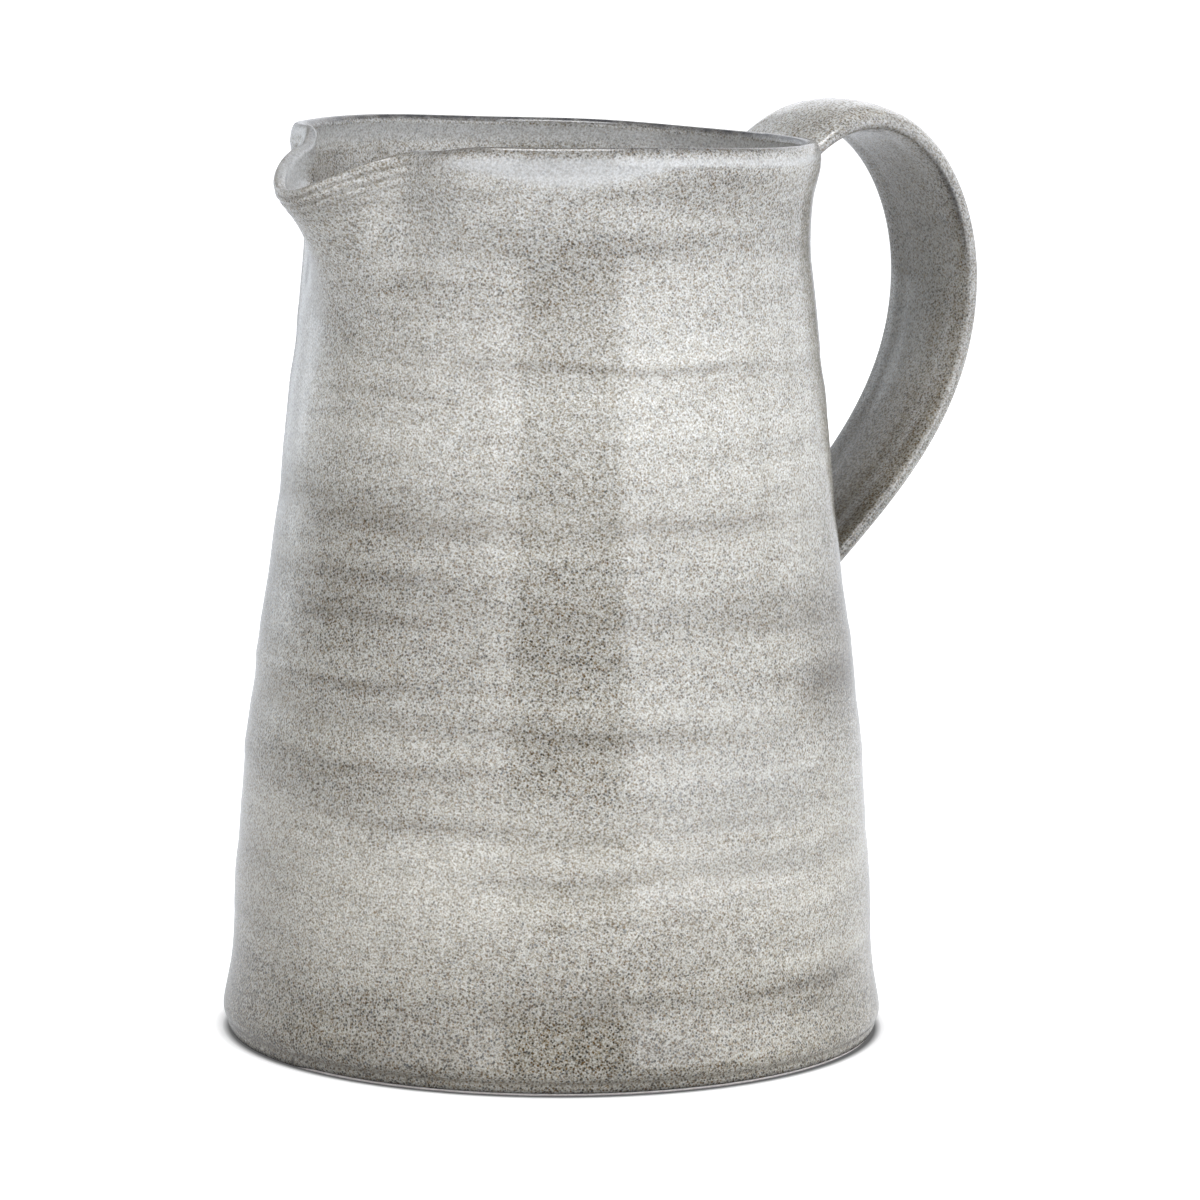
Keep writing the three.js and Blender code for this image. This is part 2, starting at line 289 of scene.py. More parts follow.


# Streaks along the throwing rings, partly darker glaze and partly painted shade; one below zero is painted
# light:
# height, half width, strength, and their place and reach round the body, in degrees to the right of the
# photograph's side
PHOTO_SIDE = -57
STREAKS = [(196, 1.6, 0.35, 5, 30), (168.5, 1.3, 0.6, 20, 34), (161, 1.0, 0.4, -38, 22),
           (151, 1.2, 0.25, -5, 25), (131, 2.6, 0.55, -28, 24), (132, 2.4, 0.5, 30, 22),
           (118, 2.2, 0.4, -45, 25), (108, 1.6, 0.45, -42, 18), (107, 1.8, 0.4, 50, 22),
           (101, 1.5, 0.35, 0, 16), (93, 1.6, 0.5, -45, 20), (92, 5.0, 0.6, 68, 16), (84, 1.4, 0.4, 10, 22),
           (74, 1.5, 0.45, -35, 24), (62, 1.3, 0.4, -30, 22), (58, 1.2, 0.3, 35, 20), (50, 1.3, 0.35, 5, 18),
           (40, 1.2, 0.35, 25, 14), (21, 1.3, 0.5, 52, 18), (17, 1.2, 0.4, 45, 14), (125, 7.0, 0.28, -42, 30),
           (97, 13.0, 0.5, 74, 20), (42, 16.0, 0.42, -74, 26), (67, 8.0, 0.2, -38, 24),
           (183, 7.0, 0.28, 3, 14), (40, 14.0, 0.14, 82, 22), (66, 22.0, -0.22, 36, 20),
           (212, 8.0, 0.28, 50, 24), (20, 5.0, 0.3, 3, 16), (20, 4.0, 0.2, 58, 18)]

# Streaks on the side that the photograph hides: how many, and the ranges of the same five numbers
HIDDEN_STREAKS = 22
HIDDEN_RANGES = [(16, 200), (1.0, 2.4), (0.25, 0.55), (95, 265), (14, 30)]

# How streaks wander up and down: height, waves round the body, and how the turn follows the streak's height
STREAK_WANDER = [(0.4, 5, 1), (0.25, 11, 2)]
STREAK_END_SHARPNESS = 4


def streak_table():
    rows = list(STREAKS)
    for _ in range(HIDDEN_STREAKS):
        rows.append(tuple(rng.uniform(*limits) for limits in HIDDEN_RANGES))
    return rows


ALL_STREAKS = streak_table()


def turn_from(angle, place):
    """Turn from a place, given in degrees to the right of the photograph's side, at most half a turn."""
    off = angle - math.radians(PHOTO_SIDE - place)
    return (off + math.pi) % FULL_TURN - math.pi


def glaze_streaks(z, angle):
    """How dark the streaks along the throwing rings are painted: partly darker glaze, partly painted shade.
    """
    total = np.zeros(np.broadcast(z, angle).shape)
    for height, half, strength, place, reach in ALL_STREAKS:
        off = np.abs(turn_from(angle, place))
        wander = waves(off, [(rise, count, share * height) for rise, count, share in STREAK_WANDER])
        fade = hump(off, math.radians(reach), STREAK_END_SHARPNESS)
        total += strength * fade * hump(z - height - wander, half)
    return total


# Painted highlight: a band of smooth pale glaze under the lip
LIP_PAINTED_HIGHLIGHT = 0.85
LIP_BAND_PLACE = 5
LIP_BAND_DEPTH = 3.2
LIP_BAND_SAG = 5.0
LIP_BAND_HALF_ANGLE = math.radians(21)
LIP_BAND_WAVES = [(0.6, 6, 1)]
LIP_BAND_BLUR = 1.6
LIP_BAND_TOP = (216.6, 218.4)
LIP_BAND_START = (math.radians(24), math.radians(40))


def painted_lip_highlight(z, angle):
    """Painted highlight under the lip, which reaches lowest on the photograph's side."""
    sag = LIP_BAND_SAG * hump(turn_from(angle, LIP_BAND_PLACE), LIP_BAND_HALF_ANGLE)
    lowest = BODY_HEIGHT - LIP_BAND_DEPTH - sag - waves(angle, LIP_BAND_WAVES)
    away_from_spout = ease(np.abs(angle), *LIP_BAND_START)
    return band(z, (lowest - LIP_BAND_BLUR, lowest + LIP_BAND_BLUR), LIP_BAND_TOP) * away_from_spout


# Painted light on the flank behind the spout's throat: its edges in degrees and in heights, how its near edge
# slants and how its other edges wave
FLANK_PAINTED_LIGHT = 0.5
FLANK_START = 2
FLANK_SLANT = 0.22
FLANK_SLANT_TOP = 180
FLANK_NEAR = (-2.5, 4)
FLANK_FAR = (20, 52)
FLANK_SWAY = 5
FLANK_SWAY_PITCH = 9
FLANK_WAVES = [(9, 6, 0), (5, 13, 1)]
FLANK_LOW = (105, 172)
FLANK_HIGH = (192, 209)


def painted_flank_light(z, angle):
    """Painted light on the flank behind the spout's throat, as smooth pale glaze."""
    turn = np.degrees(angle)
    start = FLANK_START + FLANK_SLANT * np.maximum(0, FLANK_SLANT_TOP - z)
    far = ease(turn + FLANK_SWAY * np.sin(z / FLANK_SWAY_PITCH), *FLANK_FAR)
    side = ease(turn - start, *FLANK_NEAR) * (1 - far)
    return side * ease(z + waves(angle, FLANK_WAVES), *FLANK_LOW) * (1 - ease(z, *FLANK_HIGH))


# Painted light and shade inside: how pale or dark it is painted, and between which heights and degrees that
# changes
INSIDE_PAINTED_LIGHT = 0.6
INSIDE_PAINTED_SHADE = 0.8
DEEP_PAINTED_SHADE = 0.15
CHANNEL_PAINTED_REFLECTION = 0.8
FOLD_PAINTED_SHADE = 0.3
DARK_HEIGHTS = (215.5, 209.5)
DEEP_HEIGHTS = (204, 186)
CHANNEL_HEIGHTS = (188, 200)
CHANNEL_EDGE = (15, 20)
FOLD_TURN = 29
FOLD_HALF = 7


def inside_light_and_shade(z, angle):
    """Painted light and shade inside: pale at the top, a painted reflection in the spout's channel, painted
    shade below the top and in its folds.
    """
    dark = -INSIDE_PAINTED_LIGHT + (INSIDE_PAINTED_SHADE + INSIDE_PAINTED_LIGHT) * ease(z, *DARK_HEIGHTS)
    dark = dark - (dark - DEEP_PAINTED_SHADE) * ease(z, *DEEP_HEIGHTS)
    turn = np.degrees(np.abs(angle))
    high = ease(z, *CHANNEL_HEIGHTS)
    channel = 1 - ease(turn, *CHANNEL_EDGE)
    dark = dark + (-CHANNEL_PAINTED_REFLECTION - dark) * channel * high
    return dark + FOLD_PAINTED_SHADE * hump(turn - FOLD_TURN, FOLD_HALF) * high


# Ridges that follow the lip on either side of the spout: distance under the lip, depth and half width
LIP_GROOVES = [(3.2, 0.27, 0.65), (4.6, -0.08, 0.6), (6.0, 0.25, 0.7), (8.6, 0.17, 0.9), (11.5, 0.1, 1.2)]
GROOVE_END = math.radians(31)
GROOVE_FADE = (GROOVE_END * 0.4, GROOVE_END * 1.3)


def lip_grooves(below, angle):
    total = sum(-depth * hump(below - place, half) for place, depth, half in LIP_GROOVES)
    return total * (1 - ease(np.abs(angle), *GROOVE_FADE))


def pull_spout(radius, angle, z):
    rise = np.maximum(0, (z - BODY_HEIGHT + SPOUT_DEPTH) / SPOUT_DEPTH)
    pull = rise ** SPOUT_EASE
    beak = SPOUT_REACH * hump(angle, SPOUT_HALF_ANGLE, SPOUT_SQUARENESS)
    far_pinch = FAR_PINCH * hump(angle - FAR_PINCH_ANGLE, FAR_PINCH_HALF_ANGLE)
    near_pinch = PINCH * rise ** PINCH_EASE * hump(-angle - PINCH_ANGLE, PINCH_HALF_ANGLE)
    ear = EAR_SWELL * hump(np.abs(angle) - EAR_ANGLE, EAR_HALF_ANGLE)
    lip = np.where(angle > 0, far_lip_dip(np.degrees(angle)), SPOUT_DIP * hump(angle, DIP_HALF_ANGLE))
    dip = lip + SHOULDER_DIP * hump(-angle - SHOULDER_ANGLE, SHOULDER_HALF_ANGLE)
    return radius + pull * (beak - (near_pinch + far_pinch) + ear), z - pull * dip


def lean_rim(x, y, z):
    fall = RIM_TILT * x - RIM_SIDE_TILT * y
    return z - fall / RIM_RADIUS * (z / BODY_HEIGHT)


# Unevenness of the lip: waves, then rises and dips with their height, place and half width in degrees
RIM_WAVES = [(0.32, 3, 0.4), (0.22, 5, 1.9)]
RIM_RISES = [(0.7, 85, 26), (-0.7, 152, 22)]
RIM_WAVE_HEIGHTS = (170, 219)
RIM_WAVE_TURNS = (0.35, 1.0)


def rim_wave(angle, z):
    """Small unevenness of the lip's height, away from the spout."""
    wave = waves(angle, RIM_WAVES) + humps(np.degrees(angle), RIM_RISES)
    return wave * ease(z, *RIM_WAVE_HEIGHTS) * ease(np.abs(angle), *RIM_WAVE_TURNS)


even_turns = np.arange(SEGMENTS) / SEGMENTS * FULL_TURN - math.pi
ANGLES = even_turns - SPOUT_CROWDING * np.sin(even_turns)


def thrown(radius, z):
    """Grid of points from a grid of radii and heights, with the spout pulled and the rim leant."""
    angle = np.broadcast_to(ANGLES, radius.shape)
    radius, height = pull_spout(radius, angle, z)
    x, y = bow(z) - radius * np.cos(angle), radius * np.sin(angle)
    return np.stack([x, y, lean_rim(x, y, height + rim_wave(angle, z))], -1)


def wall_thickness(z):
    share = (z - FLOOR_HEIGHT) / (LIP_HEIGHT - FLOOR_HEIGHT)
    return FLOOR_WALL + (RIM_WALL - FLOOR_WALL) * share


def inner_radius(z):
    rim = ease(z, MOUTH_START, LIP_HEIGHT - MOUTH_MARGIN)
    wall = wall_radius(np.minimum(z, LIP_OUTSIDE)) - wall_thickness(z)
    return wall * (1 - rim) + (LIP_RADIUS - LIP_ROUND) * rim


def spread(rows):
    """One profile row each, for all the angles."""
    return np.repeat(np.array(rows, float)[:, None], SEGMENTS, 1)


def outside_rows(step):
    """Heights and radii up the outside, closer together at the foot and under the lip."""
    z = np.concatenate([np.arange(WALL[0][0], FOOT_END, min(step, FOOT_STEP)),
                        np.arange(FOOT_END, LIP_START, step),
                        np.arange(LIP_START, LIP_OUTSIDE, min(step, LIP_STEP))])
    return z, wall_radius(z)


def inside_rows(step):
    """Radius and height down the inside, from the lip to the middle of the floor."""
    top = FLOOR_HEIGHT + FLOOR_FILLET
    z = np.arange(LIP_HEIGHT - INSIDE_START, top, -step)
    wall = np.stack([inner_radius(z), z], -1)
    corner = inner_radius(top) - FLOOR_FILLET
    turn = np.linspace(0, math.pi / 2, FLOOR_FILLET_POINTS)
    fillet = np.stack([corner + FLOOR_FILLET * np.cos(turn), top - FLOOR_FILLET * np.sin(turn)], -1)
    reach = np.linspace(corner, 0, FLOOR_POINTS)[1:-1]
    return np.concatenate([wall, fillet, np.stack([reach, np.full(len(reach), FLOOR_HEIGHT)], -1)])


def lip_rows(steps, offset=0.0):
    """Radius and height over the lip, which is taller on its outside."""
    turn = np.linspace(0, math.pi, steps)
    tall = np.where(turn < math.pi / 2, LIP_OUTSIDE_ROUND, LIP_ROUND)
    foot = np.where(turn < math.pi / 2, LIP_OUTSIDE, LIP_HEIGHT)
    radius = LIP_RADIUS + (LIP_ROUND + offset) * np.cos(turn)
    return np.stack([radius, foot + (tall + offset) * np.sin(turn)], -1)


# Spiral that the fingers leave on the floor of the inside, with the radii where it starts and ends
SPIRAL_PITCH = 7.5
SPIRAL_DEPTH = 0.3
SPIRAL_START = (2, 10)
SPIRAL_END = (40, 56)


def floor_spiral(radius, angle):
    wave = np.cos(FULL_TURN * radius / SPIRAL_PITCH - angle)
    return SPIRAL_DEPTH * wave * band(radius, SPIRAL_START, SPIRAL_END)


# Rows of the glaze's face that the lip's effects take in beside the lip's own
GROOVED_LIP_ROWS = 12
ROWS_BEFORE_LIP = 4
ROWS_AFTER_LIP = 2
LIP_TOP_ROW = 4
TIP_ROWS = 3

# Rings inside: their strength, how they are shifted against those outside, and the heights where they start
INSIDE_RINGS = 0.6
INSIDE_RINGS_RISE = 3
INSIDE_RINGS_TURN = 1.2
INSIDE_RINGS_START = (24, 40)
FLOOR_MARGIN = 0.5
FLOOR_BLEND = 2

# Thin glaze, with a painted dark reflection along the inside of the lip: strength, place and half width
# across the lip from -1 to 1, then the spout's tip and the foot
# The second hump across the lip, on its inside, is the painted dark reflection
LIP_THINNESS_AND_REFLECTION = [(0.35, -0.1, 0.4), (0.95, 0.4, 0.44)]
THIN_AT_SPOUT = 0.25
THIN_LIP_START = (math.radians(16), math.radians(32))
TIP_TURN = math.radians(2)
TIP_EDGE = (math.radians(6), math.radians(11))
TIP_THINNESS = 0.6
THIN_FOOT_ROWS = 2.2

# Pooled glaze: in the rings, in the lip's grooves, along the lip by the spout, and in the crease of the foot
RING_POOLING = 0.8
GROOVE_POOLING = 4.0
LIP_POOLS = [(0.8, -0.08, 0.2)]
LIP_POOL_END = (math.radians(45), math.radians(85))
CREASE_POOLS = [(0.8, 3.15, 0.4), (0.25, 3.6, 1.1)]

# Painted light on top of the spout's far lip, with its ends in degrees
FAR_LIP_PAINTED_LIGHT = 0.8
FAR_LIP_START = (3, 9)
FAR_LIP_END = (34, 50)


class FaceRows:
    """Slices of the rows of the glaze's face, from the foot over the lip to the floor."""

    def __init__(self, foot, outside, lip):
        first_lip = foot + outside
        first_inside = first_lip + lip
        self.foot = slice(0, foot)
        self.outside = slice(foot, first_lip)
        self.under_lip = slice(0, first_lip)
        self.grooved = slice(foot, first_lip + GROOVED_LIP_ROWS)
        self.over_lip = slice(first_lip - ROWS_BEFORE_LIP, first_inside + ROWS_AFTER_LIP)
        self.lip_top = slice(first_lip + LIP_TOP_ROW, first_inside)
        self.lip_end = slice(first_inside - TIP_ROWS, first_inside)
        self.before_inside = slice(0, first_inside)
        self.inside = slice(first_inside, None)
        self.across_lip = np.linspace(-1, 1, self.over_lip.stop - self.over_lip.start)[:, None]


def thin_glaze_and_lip_reflection(z, rows):
    """How thin the glaze lies on the lip, at the spout's tip and at the edge of the foot, with the painted
    dark reflection inside the lip.
    """
    thin = np.zeros_like(z)
    away_from_spout = THIN_AT_SPOUT + (1 - THIN_AT_SPOUT) * ease(np.abs(ANGLES), *THIN_LIP_START)
    thin[rows.over_lip] = humps(rows.across_lip, LIP_THINNESS_AND_REFLECTION) * away_from_spout
    thin[rows.lip_end] += TIP_THINNESS * (1 - ease(np.abs(ANGLES - TIP_TURN), *TIP_EDGE))
    thin[rows.foot] = hump(np.arange(rows.foot.stop), THIN_FOOT_ROWS)[:, None]
    return thin


def pooled_glaze(z, rows, relief, grooves):
    """How thick the glaze lies in hollows."""
    pooled = np.zeros_like(z)
    pooled[rows.outside] = np.clip(-relief * RING_POOLING, 0, 1)[rows.outside]
    pooled[rows.grooved] += np.clip(-grooves * GROOVE_POOLING, 0, 1)[rows.grooved]
    near_spout = 1 - ease(np.abs(ANGLES), *LIP_POOL_END)
    pooled[rows.over_lip] += humps(rows.across_lip, LIP_POOLS) * near_spout
    pooled[rows.under_lip] += humps(z[rows.under_lip], CREASE_POOLS)
    return np.clip(pooled, 0, 1)


def streaks_light_and_shade(z, angle, rows):
    """How dark the glaze is painted: streaks and painted shade, and numbers below zero for painted light,
    where it is painted smooth and pale.
    """
    tint = np.zeros_like(z)
    streaks = glaze_streaks(z, angle) - FLANK_PAINTED_LIGHT * painted_flank_light(z, angle)
    tint[rows.outside] = streaks[rows.outside]
    tint[rows.grooved] -= LIP_PAINTED_HIGHLIGHT * painted_lip_highlight(z, angle)[rows.grooved]
    tint[rows.inside] = inside_light_and_shade(z, angle)[rows.inside]
    tint[rows.lip_top] -= FAR_LIP_PAINTED_LIGHT * band(np.degrees(ANGLES), FAR_LIP_START, FAR_LIP_END)
    return tint


def glaze_face():
    """Grid of the glaze's face, how thin and how pooled it lies, how dark it is painted with streaks and
    painted light and shade, and the slices of its rows.
    """
    bevel_r, bevel_z = np.array(BEVEL).T
    out_z, out_r = outside_rows(GLAZE_STEP)
    lip = lip_rows(LIP_POINTS)
    inner = inside_rows(LINER_STEP)
    z = spread(np.concatenate([bevel_z, out_z, lip[:, 1], inner[:, 1]]))
    radius = spread(np.concatenate([bevel_r, out_r, lip[:, 0], inner[:, 0]]))
    angle = np.broadcast_to(ANGLES, z.shape)
    rows = FaceRows(len(bevel_z), len(out_z), len(lip))
    relief = throwing_rings(z, angle)
    grooves = lip_grooves(LIP_HEIGHT + LIP_ROUND - z, angle)
    radius[rows.outside] += relief[rows.outside]
    radius[rows.grooved] += grooves[rows.grooved]
    inside_rings = throwing_rings(z + INSIDE_RINGS_RISE, angle + INSIDE_RINGS_TURN)
    inside_rings = INSIDE_RINGS * (inside_rings * ease(z, *INSIDE_RINGS_START))
    radius[rows.inside] -= inside_rings[rows.inside]
    run = FOOT_RUN * band(np.degrees(ANGLES), FOOT_RUN_START, FOOT_RUN_END)
    z[:FOOT_RUN_ROWS] -= np.linspace(1, 0, FOOT_RUN_ROWS)[:, None] * run
    floor = ease(FLOOR_HEIGHT + FLOOR_MARGIN - z, -FLOOR_BLEND, 0)
    z[rows.inside] += (floor * floor_spiral(radius, angle))[rows.inside]
    thin = thin_glaze_and_lip_reflection(z, rows)
    pooled = pooled_glaze(z, rows, relief, grooves)
    return thrown(radius, z), thin, pooled, streaks_light_and_shade(z, angle, rows), rows


def add_object(name, data):
    item = bpy.data.objects.new(name, data)
    bpy.context.scene.collection.objects.link(item)
    return item


def mesh_piece(name, points, faces):
    """Smooth piece from points in millimetres."""
    mesh = bpy.data.meshes.new(name)
    mesh.from_pydata((np.asarray(points) * MM).tolist(), [], faces)
    mesh.update()
    mesh.shade_smooth()
    return add_object(name, mesh)


def grid_faces(rows, columns, start=0, flip=False):
    """Quads of a grid that closes round its columns, from the point with the start number."""
    faces = []
    for row in range(rows - 1):
        first = start + row * columns
        faces += join_rows(first, first + columns, columns, flip)
    return faces


def join_rows(first, second, columns, flip=False):
    """Quads between two rows of points that start at the given numbers."""
    j = np.arange(columns)
    k = (j + 1) % columns
    quads = np.stack([first + j, first + k, second + k, second + j], -1)
    return (quads[:, ::-1] if flip else quads).tolist()


def fan(row, tip, columns, flip=False):
    """Triangles from a row of points to one point."""
    j = np.arange(columns)
    k = (j + 1) % columns
    triangles = np.stack([row + j, row + k, np.full(columns, tip)], -1)
    return (triangles[:, ::-1] if flip else triangles).tolist()


def set_values(piece, **values):
    """Stores a number for each of a piece's first points, and zero for the rest."""
    for name, numbers in values.items():
        padded = np.zeros(len(piece.data.vertices), np.float32)
        padded[:numbers.size] = numbers.ravel()
        piece.data.attributes.new(name, "FLOAT", "POINT").data.foreach_set("value", padded)


def clay_profile(depth, step):
    """Radius and height of the surface a depth under the glaze's face, from foot to floor."""
    out_z, out_r = outside_rows(step)
    lip = lip_rows(HIDDEN_LIP_POINTS, -depth)
    inner = inside_rows(step)
    above_floor = inner[:, 1] > FLOOR_HEIGHT + FLOOR_TOLERANCE
    inner[:, 0] += np.where(above_floor, depth, 0)
    inner[:, 1] -= np.where(inner[:, 1] < FLOOR_HEIGHT + FLOOR_FILLET, depth, 0)
    bevel = np.array(BEVEL[::2])
    return np.concatenate([bevel - [depth, 0], np.stack([out_r - depth, out_z], -1), lip, inner])


def glaze_coat():
    """The coat of the body as one closed shell, and the tree of its outside that the handle's roots meet."""
    face, thin, pooled, tint, face_rows = glaze_face()
    back_profile = clay_profile(COAT, COAT_BACK_STEP)
    back = thrown(spread(back_profile[:, 0]), spread(back_profile[:, 1]))
    rows, back_rows = len(face), len(back)
    points = np.concatenate([face.reshape(-1, 3), back.reshape(-1, 3),
                             [[0, 0, FLOOR_HEIGHT], [0, 0, FLOOR_HEIGHT - COAT]]])
    start, tips = rows * SEGMENTS, (rows + back_rows) * SEGMENTS
    faces = grid_faces(rows, SEGMENTS, flip=True) + fan((rows - 1) * SEGMENTS, tips, SEGMENTS, flip=True)
    faces += grid_faces(back_rows, SEGMENTS, start)
    faces += fan(start + (back_rows - 1) * SEGMENTS, tips + 1, SEGMENTS)
    faces += join_rows(start, 0, SEGMENTS, flip=True)
    piece = mesh_piece("glaze_coat", points, faces)
    set_values(piece, glaze_thin=thin, glaze_pooled=pooled, glaze_streak=tint)
    outer = face[face_rows.before_inside]
    surface = BVHTree.FromPolygons(outer.reshape(-1, 3).tolist(), grid_faces(len(outer), SEGMENTS))
    return piece, surface


def clay_body():
    """The clay under the coat, with the bare edge of the foot and the flat underside."""
    profile = np.concatenate([CLAY_EDGE, clay_profile(COAT + CLAY_GAP, CLAY_STEP)])
    rows = len(profile)
    points = np.concatenate([thrown(spread(profile[:, 0]), spread(profile[:, 1])).reshape(-1, 3),
                             [[0, 0, FLOOR_HEIGHT - COAT - CLAY_GAP], [0, 0, 0]]])
    tip = rows * SEGMENTS
    faces = grid_faces(rows, SEGMENTS, flip=True) + fan((rows - 1) * SEGMENTS, tip, SEGMENTS, flip=True)
    faces += fan(0, tip + 1, SEGMENTS)
    return mesh_piece("clay_body", points, faces)


def bezier(points, t):
    a, b, c, d = np.array(points, float)
    t = t[:, None]
    return a * (1 - t) ** 3 + 3 * b * t * (1 - t) ** 2 + 3 * c * t * t * (1 - t) + d * t ** 3


def clay_radius(z):
    """Distance of the clay from the axis on the handle's side."""
    return float(wall_radius(z) + bow(z)) - COAT - ROOT_CLEARANCE


def along(point, slope, distance):
    return point + distance * np.array([math.cos(slope), math.sin(slope)])


def handle_line():
    """Points, directions and lengths of the line that the strap follows, in the plane of the handle."""
    upper = np.array([clay_radius(UPPER_ROOT_HEIGHT), UPPER_ROOT_HEIGHT])
    lower = np.array([clay_radius(LOWER_ROOT_HEIGHT), LOWER_ROOT_HEIGHT])
    far = np.array([clay_radius(HANDLE_REACH_HEIGHT) + HANDLE_REACH, HANDLE_REACH_HEIGHT])
    t = np.linspace(0, 1, LINE_POINTS)
    over = bezier([upper, along(upper, UPPER_ROOT_SLOPE, UPPER_ROOT_PULL), far + [0, CROWN_PULL], far], t)
    under = bezier([far, far - [0, HEEL_PULL], along(lower, LOWER_ROOT_SLOPE, LOWER_ROOT_PULL), lower], t)
    upper_end = along(upper, UPPER_ROOT_SLOPE, -ROOT_TUCK)
    lower_end = along(lower, LOWER_ROOT_SLOPE, -ROOT_TUCK)
    line = np.concatenate([[upper_end], over, under[1:], [lower_end]])
    length = np.concatenate([[0], np.cumsum(np.linalg.norm(np.diff(line, axis=0), axis=1))])
    place = np.arange(0, length[-1], LINE_STEP)
    line = np.stack([np.interp(place, length, line[:, k]) for k in (0, 1)], -1)
    tangent = np.gradient(line, axis=0)
    return line, tangent / np.linalg.norm(tangent, axis=1)[:, None], place


SECTION_ANGLES = (np.arange(SECTION_POINTS) + 0.5) / SECTION_POINTS * FULL_TURN


def strap_surface():
    """Grid of the strap's skin: a row for each point of its line, a column for each point of its section."""
    line, tangent, place = handle_line()
    total = place[-1]
    cos, sin = np.cos(SECTION_ANGLES), np.sin(SECTION_ANGLES)
    side = STRAP_WIDTH / 2
    across = side * np.sign(cos) * np.abs(cos) ** EDGE_ROUNDNESS
    top = np.clip(sin, 0, 1) ** CROWN_ROUNDNESS
    under = np.clip(-sin, 0, 1) ** EDGE_ROUNDNESS
    root = 1 - ease(place, ROOT_TUCK, ROOT_TUCK + UPPER_ROOT_LENGTH)
    foot = ease(place, total - ROOT_TUCK - LOWER_ROOT_LENGTH, total - ROOT_TUCK)
    outer_depth = STRAP_OUTER_DEPTH * (1 - UPPER_ROOT_FLATNESS * root - LOWER_ROOT_FLATNESS * foot)
    width = 1 + UPPER_ROOT_WIDENING * root + LOWER_ROOT_WIDENING * foot
    width = width + WIDTH_WAVE * np.sin(place / WIDTH_WAVE_PITCH)
    groove = STRAP_GROOVE_PLACE * side
    grooves = hump(across - groove, STRAP_GROOVE_HALF) + hump(across + groove, STRAP_GROOVE_HALF)
    out = outer_depth[:, None] * top - STRAP_INNER_DEPTH * under
    out = out - np.sign(sin) * (STRAP_GROOVE_DEPTH * grooves) * (np.abs(sin) > STRAP_EDGE)
    normal = np.stack([-tangent[:, 1], tangent[:, 0]], -1)
    x = line[:, :1] + normal[:, :1] * out
    z = line[:, 1:] + normal[:, 1:] * out
    y = np.broadcast_to(across, x.shape) * width[:, None]
    return np.stack([x, y, z], -1), place


def meets_wall(skin, column, rows, surface):
    """Where a line of the strap's skin first meets the wall's glaze: its row, the point and the normal."""
    for here, there in zip(rows[:-1], rows[1:]):
        start, end = Vector(skin[here, column]), Vector(skin[there, column])
        hit, normal, _, _ = surface.ray_cast(start, (end - start).normalized(), (end - start).length)
        if hit is not None:
            return here, hit, normal if normal.dot(end - start) < 0 else -normal
    raise RuntimeError(f"line {column} of the strap misses the wall")


def root_rings(skin, rows, surface):
    """Rings that ease the strap into the wall at one root, from the strap outwards, and the row where each
    line of the skin leaves off."""
    middle = skin.mean(1)
    rings, ends = np.zeros((FILLET_RINGS + 2, SECTION_POINTS, 3)), np.zeros(SECTION_POINTS, int)
    step = rows[1] - rows[0]
    for column in range(SECTION_POINTS):
        row, hit, normal = meets_wall(skin, column, rows, surface)
        back = row - step * int(FILLET / LINE_STEP)
        outward = Vector(skin[row, column] - middle[row])
        outward -= normal * outward.dot(normal)
        near, near_normal, _, _ = surface.find_nearest(hit + outward.normalized() * FILLET * FILLET_SPREAD)
        near_normal = near_normal if near_normal.dot(normal) > 0 else -near_normal
        a, b, c = (np.array(v) for v in (skin[back, column], hit, near - near_normal * FILLET_SINK))
        for k in range(FILLET_RINGS + 1):
            t = k / FILLET_RINGS
            rings[k, column] = a * (1 - t) ** 2 + 2 * b * t * (1 - t) + c * t * t
        outer_end = np.array(near - near_normal * ROOT_SINK)
        inner_end = np.array(hit - normal * ROOT_SINK)
        rings[-1, column] = outer_end * ROOT_SPREAD + inner_end * (1 - ROOT_SPREAD)
        ends[column] = back
    return rings, ends


def strap_glaze(rows):
    """How thin and how pooled the glaze lies on the strap, and how dark it is painted, with painted shade on
    its inner face, for that many rings.
    """
    cos, sin = np.cos(SECTION_ANGLES), np.sin(SECTION_ANGLES)
    share = np.linspace(0, 1, rows)[:, None]
    start, end = LOWER_STRAP
    lower = ease(np.arange(rows), rows * start, rows * end)[:, None]
    stretch = hump(share - STRETCH_PLACE, STRETCH_HALF)
    stretch = stretch * (hump(sin - STRETCH_SIDE, STRETCH_SIDE_HALF) * (cos < 0))
    thin = EDGE_THINNESS * hump(sin, EDGE_HALF) + STRETCH_THINNESS * stretch
    side = np.abs(cos) ** EDGE_ROUNDNESS
    pooled = STRAP_POOLING * hump(side - POOL_PLACE, POOL_HALF) * np.where(sin < 0, 1.0, OUTER_POOLING)
    # Painted shade on the inner face, stronger towards the lower root
    inner_face = ease(-sin, *INNER_FACE_EDGE)
    tint = STRAP_DARKNESS + inner_face * (INNER_FACE_PAINTED_SHADE + LOWER_FACE_PAINTED_SHADE * lower)
    return thin, pooled * lower, tint


